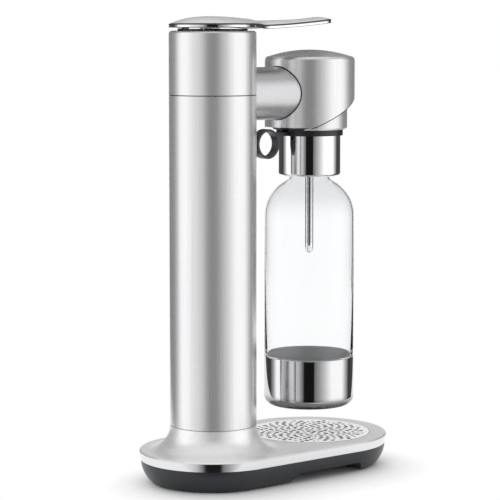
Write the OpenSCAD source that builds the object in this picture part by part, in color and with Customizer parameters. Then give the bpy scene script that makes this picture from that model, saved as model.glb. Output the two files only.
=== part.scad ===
// Sparkling water maker: a lever on a column opens a gas cylinder, and the gas runs
// through the arm and the head into a bottle that hangs by its cap from a tilting clip.
// The front faces -Y, Z is up, and the origin is on the table under the middle of the base.

/* [Base] */
// Radius of the base's rear end, round the column
base_rear_r = 67; // [62:0.5:74]
// Radius of the base's front end, round the drip grate
base_front_r = 73; // [70:0.5:80]
// Distance from the column's axis to the bottle's axis
reach = 120; // [118:0.5:132]
// Height of the base pan's upper edge above the table
pan_h = 20.5; // [19:0.5:26]
// How far the pan's upper edge is set in from the rim
pan_inset = 1.4; // [0.8:0.1:2.5]
// Radius of the pan's rounded side
pan_round = 26; // [24:0.5:30]
// Wall of the pan
pan_wall = 2.4; // [2:0.1:3.5]
// Floor of the pan
pan_floor = 3; // [2.5:0.1:4]
// Height of the cover's polished rim band
band_h = 8.5; // [7:0.5:12]
// How far the rim band draws in towards its lower edge
band_taper = 1; // [0:0.1:2]
// Bevel along the top of the rim
rim_bevel = 1.2; // [0.6:0.1:2]
// Sheet thickness of the cover
cover_wall = 1.6; // [1.2:0.1:2]
// Height of the arch under the base
arch_h = 8.2; // [5:0.1:8.5]
// Distance from the column's axis to the arch's rear end
arch_rear = 38; // [34:0.5:44]
// Distance from the column's axis to the arch's front end
arch_front = 128; // [116:1:130]
// Length of the arch's curved ends
arch_slope = 10; // [6:0.5:14]
// Radius of a rubber foot
foot_r = 7; // [5:0.5:8]
// How far the feet stand out below the pan
foot_rise = 1; // [0.8:0.1:2]
// How far the feet are let into the pan
foot_seat = 2; // [1:0.1:2]
// Distance of the rear feet from the column's axis
rear_foot_dist = 46; // [42:0.5:48]
// Angle of the rear feet from the middle line
rear_foot_angle = 62; // [50:1:66]
// Distance of the front feet from the bottle's axis
front_foot_dist = 50; // [46:0.5:54]
// Angle of the front feet from the middle line
front_foot_angle = 48; // [40:1:56]
// Distance of the deck screws from the middle line
deck_screw_x = 54; // [50:0.5:56]
// Distance of the deck screws in front of the column's axis
deck_screw_back = 66; // [62:0.5:70]
// Radius of the screws' threads
screw_r = 1.6; // [1.4:0.1:2]
// Radius of the screws' heads
screw_head_r = 3; // [2.6:0.1:3.2]
// Height of the screws' heads
screw_head_t = 2; // [1.5:0.1:2.2]

/* [Drip tray] */
// Radius of the drip grate
grate_r = 57; // [54:0.5:57.5]
// Thickness of the drip grate
grate_t = 2; // [1.5:0.1:3]
// Number of holes in the grate
grate_holes = 216; // [80:1:240]
// Radius of the largest hole
grate_hole_r = 2.3; // [1.2:0.1:2.5]
// Share of a hole's radius that differs from hole to hole
grate_vary = 0.22; // [0:0.01:0.4]
// Plain margin round the holes
grate_margin = 3; // [2:0.5:8]
// Width of the well's ledge that carries the grate
well_ledge = 4; // [3:0.5:6]
// Depth of the well under its ledge
well_depth = 12.6; // [10:0.1:12.8]
// Wall of the well
well_wall = 1.6; // [1.2:0.1:2]

/* [Column] */
// Outer radius of the column
column_r = 39; // [38:0.5:42]
// Wall of the column's sleeves
sleeve_wall = 1.6; // [1.2:0.1:2]
// Radius of the flare from the deck into the column
flare_r = 22; // [18:0.5:24]
// Height of a dark seam
seam_h = 0.8; // [0.5:0.1:1.5]
// How far a seam ring is set back from the column's face
seam_setback = 0.4; // [0.2:0.1:0.8]
// Length of the column tube between the seams
tube_len = 295.3; // [280:0.1:310]
// Length of the upper sleeve
upper_len = 56.3; // [54:0.1:64]
// Radius of the upper sleeve's shoulder
shoulder_r = 3; // [1.5:0.1:5]
// Opening in the upper sleeve's top
top_hole_r = 31.5; // [30:0.5:33]
// Wall of the inner chassis tube
chassis_wall = 3; // [2.5:0.1:3.2]
// Width of the chassis tube's foot flange
chassis_flange = 8; // [7:0.5:9]
// Thickness of the chassis tube's foot flange
chassis_flange_t = 4; // [3:0.5:6]
// How far the top plate's boss stands above the column
boss_rise = 1.6; // [1:0.1:1.8]
// Thickness of the top plate
plate_t = 7.5; // [7:0.1:9]

/* [Lever] */
// Gap between the column's top and the lever's edge
lever_gap = 2.8; // [2.8:0.1:4]
// Height of the lever's polished edge
lever_edge = 3; // [2.6:0.1:4]
// Height of the crown over the column
crown_round = 7; // [4:0.1:8]
// Height of the crown at the waist
crown_waist = 4.4; // [3:0.1:6]
// Height of the crown along the handle
crown_handle = 3.2; // [2.6:0.1:6]
// Half the handle's width at the waist
waist_half = 13; // [11:0.5:18]
// Half the handle's width near its tip
tip_half = 14.5; // [11:0.5:18]
// Reach of the lever's tip in front of the column's axis
lever_tip = 142; // [130:1:156]
// How far the handle dips in front of the column
waist_dip = 1.2; // [0:0.1:1.4]
// Rise of the handle towards its tip
tip_lift = 6.4; // [3:0.1:12]
// Distance in front of the column's axis where the handle starts to rise
lift_from = 48; // [44:1:60]
// Depth of the hollow under the lever
lever_hollow = 2.6; // [2.4:0.1:2.6]
// Distance of the lever's pivot behind the column's axis
pivot_back = 21.5; // [20:0.5:21.5]
// Height of the pivot below the column's top
pivot_drop = 1.4; // [1:0.1:2]
// Radius of the lever's hinge pin
hinge_pin_r = 2; // [1.5:0.1:2.2]
// Half the hinge pin's length
hinge_pin_half = 20; // [19:0.5:20.5]
// Width of one hinge lug
lug_w = 5.5; // [4:0.5:6]
// Distance between the inner faces of the hinge lugs
lug_gap = 24; // [22:0.5:24]
// Radius of a hinge lug
lug_r = 4.2; // [3.6:0.1:4.2]
// Full press of the lever, in degrees
lever_press = 2.5; // [1.5:0.1:2.5]

/* [Gas] */
// Radius of the gas cylinder
cylinder_r = 30; // [28:0.5:30.5]
// Wall of the gas cylinder
cylinder_wall = 3; // [2:0.1:4]
// Height of the gas cylinder's foot above the table
cylinder_lift = 5; // [3:0.5:8]
// Radius of the cylinder's neck
neck_r = 12.5; // [11:0.5:14]
// Height of the cylinder valve's collar
collar_h = 12; // [8:0.5:14]
// Radius of the cylinder valve's spigot
spigot_r = 10.5; // [9:0.1:11]
// Length of the cylinder valve's spigot in its socket
spigot_len = 14; // [10:0.5:15]
// Radius of the valve block
block_r = 16; // [14:0.5:18]
// Height of the valve block under the top plate
block_h = 54; // [48:0.5:56]
// Radius of the plunger's head
plunger_r = 7; // [6:0.1:7.4]
// Radius of the plunger's stem
stem_r = 3; // [2.5:0.1:3.5]
// Radius of the valve poppet
poppet_r = 1.6; // [1.2:0.1:2]
// Length of the valve poppet
poppet_len = 12; // [8:0.5:13]
// Outer radius of the gas pipe
pipe_r = 3; // [2.5:0.1:3.5]
// Bore radius of the gas pipe
pipe_bore_r = 1.6; // [1:0.1:2]
// Height of the gas pipe above the arm's axis
pipe_rise = 14; // [10:0.5:15]

/* [Arm and head] */
// Outer radius of the arm
arm_r = 24; // [20:0.5:25]
// Wall of the arm
arm_wall = 2; // [1.5:0.1:3]
// Width of the dark gasket round the arm
gasket_w = 0.8; // [0.5:0.1:1.5]
// Outer radius of the head
head_r = 41.8; // [41:0.1:44]
// Wall of the head
head_wall = 2; // [1.5:0.1:2.5]
// Height of the head's shoulder above the arm's axis
head_rise = 33.5; // [30:0.5:40]
// Height of the dome above the shoulder
head_crown = 6; // [4:0.5:8]
// Radius of the head's shoulder
head_round = 4; // [2:0.5:6]
// Depth of the head's rear edge below the arm's axis
head_drop = 31.5; // [30:0.5:33]
// Angle of the slanted cut at the head's lower front
cut_angle = 26.7; // [22:0.1:28]
// Distance of the cut's lower end behind the bottle's axis
cut_back = 27; // [24:0.5:30]

/* [Tilting clip] */
// Outer radius of the clip barrel
clip_r = 35; // [34:0.5:35.5]
// Wall of the clip barrel
clip_wall = 2.5; // [2:0.1:3]
// Height of the clip barrel
clip_h = 24.5; // [22:0.5:25]
// How far the barrel stands below the head's rear edge
clip_drop = 2.5; // [1:0.1:4]
// Chamfer at the barrel's lower edge
clip_chamfer = 1.6; // [0.8:0.1:2]
// Height of the tilt axis above the barrel
tilt_rise = 8; // [7:0.5:9]
// Radius of the tilt pins
tilt_pin_r = 3; // [2.5:0.1:3.5]
// Radius of the ears that turn on the tilt pins
ear_r = 6; // [5:0.5:6.5]
// Width of an ear
ear_w = 4.5; // [3:0.5:5]
// Height of the pivot ring
ring_h = 12; // [10:0.5:14]
// Thickness of the pivot ring
ring_t = 3.6; // [3:0.1:3.8]

/* [Cap] */
// Radius of the cap's black flange
flange_r = 31; // [30:0.5:32]
// Height of the cap's black flange
flange_h = 5.2; // [5:0.1:7]
// Radius of the cap's plug in the clip
plug_r = 22; // [20:0.5:23]
// Length of the cap's plug in the clip
plug_len = 13; // [10:0.5:13]
// Radius of the chrome skirt
skirt_r = 28.9; // [28:0.1:30]
// Height of the chrome skirt
skirt_h = 37.5; // [36:0.5:40]
// Wall of the chrome skirt
skirt_wall = 1.2; // [1:0.1:1.6]
// Radius of the chrome skirt's lower corner
skirt_round = 3; // [2:0.5:4]
// Wall of the threaded sleeve inside the skirt
sleeve_t = 5; // [3:0.1:5.5]
// Radius of the wand
wand_r = 3.75; // [3:0.05:4]
// Bore radius of the wand
wand_bore_r = 2.2; // [1.5:0.1:2.4]
// Length of the wand below the cap's ceiling
wand_len = 106; // [80:1:120]
// Outer radius of the finger ring
ring_out_r = 13.6; // [13:0.1:14]
// Radius of the finger ring's hole
ring_hole_r = 11.3; // [9:0.1:11.5]
// Width of the finger ring
ring_w = 8; // [6:0.5:9]
// Distance from the bottle's axis back to the finger ring's centre
ring_back = 55.6; // [52:0.1:57]
// Height of the finger ring's top above its neck
ring_rise = 3.4; // [0:0.1:4]
// Distance from the bottle's axis back to the finger ring's pin
ring_pin_back = 25; // [24.5:0.5:26]
// Thickness of the finger ring's neck
ring_neck_t = 3.4; // [3:0.1:3.6]
// Radius of the finger ring's pin
ring_pin_r = 1.2; // [1:0.05:1.2]
// Distance from the ring's pin to the vent pin
vent_arm = 11; // [10:0.5:12]
// Radius of the vent pin
vent_r = 1.2; // [1:0.1:1.3]
// Full lift of the finger ring, in degrees
ring_lift = 6; // [3:0.5:6]

/* [Bottle] */
// Outer radius of the bottle
bottle_r = 41.7; // [40:0.1:44]
// Wall of the bottle
bottle_wall = 1.5; // [1.2:0.1:2]
// Height of the bottle from its floor to its lip
bottle_h = 245.3; // [238:0.1:255]
// Outer radius of the bottle's neck
bottle_neck_r = 18.2; // [17:0.1:18.6]
// Outer radius of the threaded finish at the bottle's mouth
finish_r = 19.9; // [19:0.1:20.4]
// Length of the threaded finish
finish_len = 27; // [20:0.5:28]
// Length of the neck below the finish
neck_len = 4; // [2:0.5:8]
// Radius of the bottle's domed shoulder
dome_r = 36; // [32:0.5:40]
// Radius of the fillet between the dome and the neck
neck_fillet = 6; // [3:0.5:9]
// Radius of the polished cup
cup_r = 42.2; // [40.5:0.1:45]
// Height of the polished cup
cup_h = 46; // [30:0.5:60]
// Wall of the polished cup
cup_wall = 1.2; // [0.8:0.1:1.6]
// Radius of the cup's lower corner
cup_round = 9; // [6:0.5:14]

/* [Clearances] */
// Gap between pieces that part from each other
part_gap = 0.3; // [0.2:0.05:0.4]
// Gap between a fixed piece and the bore that it sits in
seat_gap = 0.2; // [0.1:0.05:0.3]
// Radial running clearance of pins and stems
run_gap = 0.05; // [0.02:0.01:0.1]
// Gap between the column's sleeves and the chassis tube
sleeve_gap = 0.6; // [0.4:0.1:0.8]

/* [Hidden] */
$fn = 96;

// Colours as the photograph shows them
satin_steel = "#c9cacc";
polished = "#e3e5e7";
black_plastic = "#1c1d20";
dark_rubber = "#111214";
brass_tone = "#b5903c";
clear_tone = "#dfe8ec80";
inner_metal = "#9da1a6";
overshoot = 1;
arc_steps = 12;

// Levels and axes; the lean of the base's sides has a short cosine, which keeps joined faces level
column_y = (reach + base_front_r - base_rear_r) / 2;
bottle_y = column_y - reach;
cosine_places = 100000;
lean = acos(round(cos(asin((base_front_r - base_rear_r) / reach)) * cosine_places) / cosine_places);
side_len = reach * cos(lean);
side_overlap = abs(base_front_r - base_rear_r) + 4;
side_inset = 0.1;
base_top = pan_h + band_h;
flare_top = base_top + flare_r;
flare_lap = 2;
tube_low = flare_top + seam_h;
tube_high = tube_low + tube_len;
upper_low = tube_high + seam_h;
column_top = upper_low + upper_len;
arm_z = tube_high + seam_h / 2;
sleeve_in_r = column_r - sleeve_wall;
chassis_r = sleeve_in_r - sleeve_gap;
chassis_in_r = chassis_r - chassis_wall;
bay_r = cylinder_r + 2;
collar_r = chassis_r + chassis_flange;
pan_floor_z = foot_rise + pan_floor;
arch_top = foot_rise + arch_h;
slab_top = arch_top + pan_floor - 0.5;
chassis_foot = slab_top + 2.5;
deck_screw_y = column_y - deck_screw_back;
flange_screw_r = chassis_r + chassis_flange / 2;
screw_post_r = screw_r + 2.9;
deck_screw_head = arch_top + screw_head_t;
flange_screw_head = foot_rise + screw_head_t + 1;
post_top = slab_top + 4;
deck_screw_top = base_top - cover_wall - 4;

// Drip tray levels
grate_low = base_top - cover_wall - part_gap;
deck_hole_r = grate_r + 2 * seat_gap;
well_in_r = grate_r - well_ledge;
well_flange_r = grate_r + 3;
well_ledge_t = 1.8;
well_low = grate_low - well_ledge_t - well_depth;
well_rib_r = well_in_r + 2;
well_rib_t = 2;

// Top plate, lever and valve levels
top_ring_t = cover_wall + 0.2;
plate_high = column_top - top_ring_t;
plate_low = plate_high - plate_t;
boss_top = column_top + boss_rise;
boss_r = top_hole_r - part_gap;
lever_low = column_top + lever_gap;
pivot_y = column_y + pivot_back;
pivot_z = column_top - pivot_drop;
hollow_z = lever_low + lever_hollow;
bracket_t = 2;
plunger_top = boss_top + 0.4;
presser_low = plunger_top + part_gap;
plunger_head_h = 4.4;
spring_low = plate_low + 1.6;
spring_r = 5;
spring_wire = 0.9;
spring_turns = 3;
pocket_r = plunger_r + 0.6;
block_low = plate_low - block_h;
block_flange_t = 5;
socket_r = spigot_r + part_gap;
socket_top = block_low + spigot_len + 2.4;
spigot_top = socket_top - 2.1;
stem_low = spigot_top + part_gap;
seal_lift = 0.1;
nose_r = poppet_r - part_gap;
collar_low = block_low - collar_h - part_gap;
shoulder_z = collar_low - 6 - sqrt(cylinder_r * cylinder_r - neck_r * neck_r);
pipe_z = arm_z + pipe_rise;
press_travel = pivot_back * tan(lever_press);
poppet_room = press_travel + 2;
bracket_screw_y = column_y + 5;
bracket_screw_x = 10;
relief_r = 3.5;
relief_depth = 5;
relief_z = plate_low - block_flange_t - 12;

// Head and clip levels
head_low = arm_z - head_drop;
head_shoulder = arm_z + head_rise;
head_in_r = head_r - head_wall;
clip_low = head_low - clip_drop;
clip_high = clip_low + clip_h;
tilt_z = clip_high + tilt_rise;
clip_ceiling = 3;
pivot_ring_r = head_in_r - 2 * seat_gap;
pivot_ring_in_r = pivot_ring_r - ring_t;
ring_boss_r = 6.5;
pivot_ring_low = tilt_z + 6;
ear_out = pivot_ring_in_r - 4 * part_gap;
ear_in = min(ear_out, clip_r - 2 * seat_gap) - ear_w;
ear_span = ear_out - ear_in;
liner_r = clip_r - clip_wall - seat_gap;
liner_in_r = plug_r + part_gap;
nozzle_r = 4.5;
nozzle_bore_r = 1.4;
nozzle_tip = 5;
hub_r = 8;
clip_pipe_r = 2.4;
seal_wire = 0.9;

// Cap and bottle levels
flange_top = clip_low - part_gap;
flange_low = flange_top - flange_h;
plug_top = flange_top + plug_len;
skirt_low = flange_low - skirt_h;
cap_ceiling = flange_low - 4;
thread_r = finish_r + part_gap;
sleeve_r = thread_r + sleeve_t;
gasket_t = 1.6;
lip_z = cap_ceiling - gasket_t - part_gap;
bottle_low = lip_z - bottle_h;
bottle_in_r = bottle_neck_r - bottle_wall;
finish_low = lip_z - finish_len;
neck_low = finish_low - neck_len;
dome_x = bottle_r - dome_r;
fillet_x = bottle_neck_r + neck_fillet;
fillet_rise = sqrt(pow(dome_r + neck_fillet, 2) - pow(fillet_x - dome_x, 2));
dome_z = neck_low - fillet_rise;
dome_end = atan2(fillet_rise, fillet_x - dome_x);
cup_low = bottle_low - cup_wall - part_gap;
cup_top = cup_low + cup_h;
foot_round = cup_round - cup_wall;
foot_side_r = cup_r - cup_wall - seat_gap;
wand_low = cap_ceiling - wand_len;
tip_len = 9;
ring_y = bottle_y + ring_back;
ring_top = flange_low + flange_h - 1.4;
ring_z = ring_top + ring_rise - ring_out_r;
ring_pin_y = bottle_y + ring_pin_back;
ring_pin_z = ring_top - ring_neck_t / 2;
vent_y = ring_pin_y - vent_arm;
vent_top = ring_top - ring_neck_t - part_gap;
vent_wire = 0.4;
vent_turns = 2;
toe_y = vent_y - vent_r - 1;
toe_drop = (ring_pin_y - toe_y) * sin(ring_lift) + part_gap;
ring_pin_half = ring_w / 2 + 4;
vent_spring_r = 1.9;
vent_spring_low = cap_ceiling + 0.8;
vent_spring_high = vent_top - 0.9;
seal_z = plug_top - nozzle_tip + 2;
nozzle_well_r = nozzle_r + seal_wire + part_gap / 2;
cap_wire = 0.9;
cap_groove_z = plug_top - 5;
cap_seal_r = plug_r - cap_wire + seat_gap / 2;

// Lever outline: round over the column, blended into the handle, rounded at its tip
blend_from = 26;
blend_to = 60;
dip_from = column_r - 1;
dip_len = 16;
crown_len = 45;
tip_from = lever_tip - tip_half;
end_half = 0.8;
hollow_edge = 0.9;
hollow_len = 6;
round_half = sqrt(column_r * column_r - blend_from * blend_from);
round_slope = -blend_from / round_half;
handle_slope = (tip_half - waist_half) / (tip_from - blend_to);

function arc(cx, cy, r, from, to) =
    [for (i = [0 : arc_steps]) let (a = from + (to - from) * i / arc_steps)
        [cx + r * cos(a), cy + r * sin(a)]];
function mix(a, b, t) = a + (b - a) * t;
function ease(t) = let (c = min(max(t, 0), 1)) c * c * (3 - 2 * c);

module at_column() {
    translate([0, column_y, 0]) children();
}

module at_bottle() {
    translate([0, bottle_y, 0]) children();
}

module disc(r, low, high) {
    translate([0, 0, low]) cylinder(r = r, h = high - low);
}

module pipe(r, bore, low, high) {
    difference() {
        disc(r, low, high);
        disc(bore, low - overshoot, high + overshoot);
    }
}

module rod_x(r, low, high) {
    translate([low, 0, 0]) rotate([0, 90, 0]) cylinder(r = r, h = high - low);
}

module rod_y(r, low, high) {
    translate([0, high, 0]) rotate([90, 0, 0]) cylinder(r = r, h = high - low);
}

module block(low, high) {
    translate(low) cube(high - low);
}

// Carries a profile round the base: its rear end, its front end and both sides.
// Child 0 is the profile at the rear radius, child 1 at the front radius, child 2 along the sides.
module around_base() {
    at_column() rotate_extrude() children(0);
    at_bottle() rotate_extrude() children(1);
    for (side = [0, 1])
        mirror([side, 0, 0]) at_column() rotate([0, 0, lean]) rotate([90, 0, 0])
            linear_extrude(side_len) translate([-side_inset, 0]) children(2);
}

// A closed round tube through the points of a helix about Z, as one unbroken solid
module helix_spring(r, wire, low, high, turns) {
    rings_per_turn = 8;
    sides = 6;
    rings = rings_per_turn * turns;
    rise = (high - low - wire) / rings;
    points = [for (i = [0 : rings]) for (k = [0 : sides - 1])
        let (a = 360 * i / rings_per_turn, b = 360 * k / sides, rr = r + wire / 2 * cos(b))
        [rr * cos(a), rr * sin(a), low + wire / 2 + rise * i + wire / 2 * sin(b)]];
    walls = [for (i = [0 : rings - 1]) for (k = [0 : sides - 1])
        let (p = i * sides + k, q = i * sides + (k + 1) % sides)
        each [[p, q, p + sides], [q, q + sides, p + sides]]];
    ends = [for (k = [1 : sides - 2])
        each [[0, k + 1, k], [rings * sides, rings * sides + k, rings * sides + k + 1]]];
    echo(spring_gap = rise * rings_per_turn - wire);
    polyhedron(points, concat(walls, ends));
}

// Base

module pan_profile(r, from, wall, low) {
    mid = r - pan_inset - pan_round;
    translate([from, low]) square([mid - from, pan_h - low]);
    intersection() {
        translate([mid, low]) square([pan_round, pan_h - low]);
        translate([mid, pan_h]) circle(r = pan_round - wall);
    }
}

module pan_body(wall, low) {
    around_base() {
        pan_profile(base_rear_r, 0, wall, low);
        pan_profile(base_front_r, 0, wall, low);
        pan_profile(base_rear_r, -side_overlap, wall, low);
    }
}

// The arch rises from each foot of the pan in an S-shaped end
module arch_cut() {
    rear = column_y - arch_rear;
    front = column_y - arch_front;
    half = base_front_r + overshoot;
    steps = 8;
    rise = [for (i = [0 : steps]) mix(foot_rise, arch_top, ease(i / steps))];
    translate([-half, 0, 0]) rotate([90, 0, 90]) linear_extrude(2 * half)
        polygon(concat([[front, -overshoot], [rear, -overshoot]],
            [for (i = [0 : steps]) [rear - arch_slope * i / steps, rise[i]]],
            [for (i = [steps : -1 : 0]) [front + arch_slope * i / steps, rise[i]]]));
}

module foot_places() {
    for (side = [-1, 1]) {
        at_column() rotate([0, 0, 90 + rear_foot_angle * side])
            translate([rear_foot_dist, 0, 0]) children();
        at_bottle() rotate([0, 0, 270 + front_foot_angle * side])
            translate([front_foot_dist, 0, 0]) children();
    }
}

module flange_screw_places() {
    at_column() for (a = [90, 210, 330]) rotate([0, 0, a]) translate([flange_screw_r, 0, 0]) children();
}

module deck_screw_places() {
    for (side = [-1, 1]) translate([side * deck_screw_x, deck_screw_y, 0]) children();
}

module pan_shell() {
    difference() {
        pan_body(0, foot_rise);
        difference() {
            pan_body(pan_wall, pan_floor_z);
            block([-base_front_r, column_y - arch_front - pan_wall, 0],
                  [base_front_r, column_y - arch_rear + pan_wall, slab_top]);
        }
    }
}

module base_pan() {
    color(black_plastic) difference() {
        union() {
            difference() {
                union() {
                    pan_shell();
                    at_bottle() pipe(well_rib_r + well_rib_t, well_rib_r,
                                     pan_floor_z - overshoot, grate_low - well_ledge_t);
                }
                arch_cut();
            }
            at_column() disc(collar_r, foot_rise, chassis_foot);
            deck_screw_places() disc(screw_post_r, slab_top - overshoot, post_top);
        }
        at_column() disc(bay_r, -overshoot, chassis_foot + overshoot);
        foot_places() disc(foot_r + seat_gap, 0, foot_rise + foot_seat);
        flange_screw_places() {
            disc(screw_r + seat_gap, 0, chassis_foot + overshoot);
            disc(screw_head_r + seat_gap, 0, flange_screw_head);
        }
        deck_screw_places() {
            disc(screw_r + seat_gap, 0, post_top + overshoot);
            disc(screw_head_r + seat_gap, 0, deck_screw_head);
        }
    }
}

module cover_profile(r, from, inset, low, top) {
    polygon([[from, low], [r - band_taper - inset, low], [r - inset, top - rim_bevel],
             [r - rim_bevel - inset, top], [from, top]]);
}

module cover_body(inset, low, top) {
    around_base() {
        cover_profile(base_rear_r, 0, inset, low, top);
        cover_profile(base_front_r, 0, inset, low, top);
        cover_profile(base_rear_r, -side_overlap, inset, low, top);
    }
}

module flare() {
    foot_x = column_r + flare_r;
    at_column() rotate_extrude() {
        intersection() {
            translate([sleeve_in_r, 0]) square([foot_x - sleeve_in_r, flare_top]);
            translate([foot_x, flare_top]) difference() {
                circle(r = flare_r + cover_wall);
                circle(r = flare_r);
            }
        }
        translate([foot_x, base_top - cover_wall]) square([flare_lap, cover_wall]);
    }
}

module base_cover() {
    color(satin_steel) difference() {
        union() {
            difference() {
                cover_body(0, pan_h, base_top);
                cover_body(cover_wall, pan_h - overshoot, base_top - cover_wall);
                at_column() disc(column_r + flare_r + flare_lap, 0, base_top + overshoot);
            }
            flare();
            deck_screw_places() disc(screw_post_r, post_top, base_top - cover_wall);
        }
        at_bottle() disc(deck_hole_r, base_top - cover_wall - overshoot, base_top + overshoot);
        deck_screw_places() disc(screw_r, 0, deck_screw_top + overshoot);
    }
}

module rubber_feet() {
    color(dark_rubber) foot_places() disc(foot_r, 0, foot_rise + foot_seat);
}

module base_screw(head, top) {
    disc(screw_head_r, head - screw_head_t, head);
    disc(screw_r - seat_gap, head - overshoot, top);
}

module base_screws() {
    color(inner_metal) {
        flange_screw_places() base_screw(flange_screw_head, chassis_foot + chassis_flange_t - 1);
        deck_screw_places() base_screw(deck_screw_head, deck_screw_top);
    }
}

// Drip tray

module drip_well() {
    ledge_low = grate_low - well_ledge_t;
    color(black_plastic) at_bottle() rotate_extrude()
        polygon([[0, well_low], [well_in_r, well_low], [well_in_r, ledge_low],
                 [well_flange_r, ledge_low], [well_flange_r, grate_low],
                 [well_in_r - well_wall, grate_low], [well_in_r - well_wall, well_low + well_wall],
                 [0, well_low + well_wall]]);
}

module drip_grate() {
    golden_angle = 137.508;
    vary_angle = 97;
    field = grate_r - grate_hole_r - grate_margin;
    color(polished) at_bottle() difference() {
        disc(grate_r, grate_low, grate_low + grate_t);
        for (i = [1 : grate_holes])
            rotate([0, 0, golden_angle * i]) translate([field * sqrt((i - 0.5) / grate_holes), 0, 0])
                disc(grate_hole_r * (1 - grate_vary + grate_vary * sin(vary_angle * i)),
                     grate_low - overshoot, grate_low + grate_t + overshoot);
    }
}

// Column

module arm_hole(r) {
    translate([0, 0, arm_z]) rod_y(r, bottle_y, column_y);
}

module chassis_tube() {
    color(inner_metal) difference() {
        union() {
            at_column() pipe(chassis_r, chassis_in_r, chassis_foot, plate_low);
            at_column() pipe(collar_r, chassis_in_r, chassis_foot, chassis_foot + chassis_flange_t);
        }
        arm_hole(arm_r - arm_wall - 2);
        flange_screw_places() disc(screw_r, 0, chassis_foot + chassis_flange_t + overshoot);
    }
}

module column_tube() {
    color(satin_steel) difference() {
        at_column() pipe(column_r, sleeve_in_r, tube_low, tube_high);
        arm_hole(arm_r + part_gap);
    }
}

module seam_rings() {
    color(dark_rubber) difference() {
        at_column() for (low = [flare_top, tube_high])
            pipe(column_r - seam_setback, chassis_r + seat_gap, low, low + seam_h);
        arm_hole(arm_r + part_gap);
    }
}

module column_head() {
    color(satin_steel) difference() {
        at_column() rotate_extrude()
            polygon(concat([[sleeve_in_r, upper_low], [column_r, upper_low]],
                arc(column_r - shoulder_r, column_top - shoulder_r, shoulder_r, 0, 90),
                [[top_hole_r, column_top], [top_hole_r, plate_high], [sleeve_in_r, plate_high]]));
        arm_hole(arm_r + part_gap);
    }
}

module hinge_axis() {
    translate([0, pivot_y, pivot_z]) children();
}

module top_plate() {
    pocket_half = lug_r + 1.3;
    color(black_plastic) difference() {
        at_column() union() {
            disc(chassis_r, plate_low, plate_high);
            disc(boss_r, plate_high - overshoot, boss_top);
        }
        at_column() disc(pocket_r, spring_low, boss_top + overshoot);
        at_column() disc(stem_r + run_gap, plate_low - overshoot, boss_top);
        hinge_axis() rod_x(hinge_pin_r, -hinge_pin_half, hinge_pin_half);
        for (side = [-1, 1]) {
            middle = side * (lug_gap + lug_w) / 2;
            half = lug_w / 2 + part_gap;
            block([middle - half, pivot_y - pocket_half, pivot_z - pocket_half],
                  [middle + half, pivot_y + pocket_half, boss_top + overshoot]);
        }
    }
}

module hinge_pin() {
    color(inner_metal) hinge_axis() rod_x(hinge_pin_r, -hinge_pin_half, hinge_pin_half);
}

// Lever: a crowned paddle, round over the column, drawn in at a waist and widening to its tip.
// u runs forward from the column's axis, and t runs across from -1 to 1.

function waist_curve(s) = let (len = blend_to - blend_from)
    round_half * (1 + 2 * s) * (1 - s) * (1 - s) + round_slope * len * s * (1 - s) * (1 - s)
    + waist_half * s * s * (3 - 2 * s) + handle_slope * len * s * s * (s - 1);
function paddle_half(u) =
    u < blend_from ? sqrt(max(column_r * column_r - u * u, end_half * end_half))
    : u < blend_to ? waist_curve((u - blend_from) / (blend_to - blend_from))
    : u < tip_from ? waist_half + handle_slope * (u - blend_to)
    : max(tip_half * sqrt(max(1 - pow((u - tip_from) / tip_half, 2), 0)), end_half);
function paddle_low(u) =
    lever_low - waist_dip * ease((u - dip_from) / dip_len)
    + tip_lift * pow(max((u - lift_from) / (lever_tip - lift_from), 0), 1.5);
function crown_here(u) =
    u < 0 ? crown_round * (1 - pow(-u / column_r, 3))
    : u < blend_to ? mix(crown_round, crown_waist, ease(u / blend_to))
    : u < tip_from ? mix(crown_waist, crown_handle, ease((u - blend_to) / crown_len))
    : crown_handle * (1 - pow((u - tip_from) / tip_half, 2));
function hollow_here(u) =
    lever_hollow * ease(2 * (u + column_r) / hollow_len - 1) * ease((lever_tip - u) / hollow_len - 1);
function under(u, t) = abs(t) > hollow_edge ? 0 : hollow_here(u);
function over(u, t) = lever_edge + crown_here(u) * (1 - t * t);

module lever_paddle() {
    stations = concat(
        [for (i = [0 : 13]) -column_r * cos(3 + i * 9)],
        [for (i = [0 : 8]) mix(blend_from, blend_to, i / 8)],
        [for (i = [1 : 7]) mix(blend_to, tip_from, i / 7)],
        [for (i = [1 : 7]) tip_from + tip_half * sin(i * 12.4)]);
    across = [-1, -0.93, -0.86, -0.62, -0.4, -0.2, 0, 0.2, 0.4, 0.62, 0.86, 0.93, 1];
    rows = len(across);
    loop = 2 * rows;
    last = (len(stations) - 1) * loop;
    points = [for (u = stations) each concat(
        [for (t = across) [t * paddle_half(u), column_y - u, paddle_low(u) + under(u, t)]],
        [for (t = across) [-t * paddle_half(u), column_y - u, paddle_low(u) + over(u, t)]])];
    walls = [for (i = [0 : len(stations) - 2]) for (k = [0 : loop - 1])
        let (p = i * loop + k, q = i * loop + (k + 1) % loop)
        each [[p, p + loop, q], [q, p + loop, q + loop]]];
    caps = [for (k = [0 : rows - 2]) let (top = loop - 1 - k, next = top - 1)
        each [[k, k + 1, top], [k + 1, next, top],
              [last + k, last + top, last + k + 1], [last + k + 1, last + top, last + next]]];
    color(polished) polyhedron(points, concat(walls, caps));
}

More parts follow.
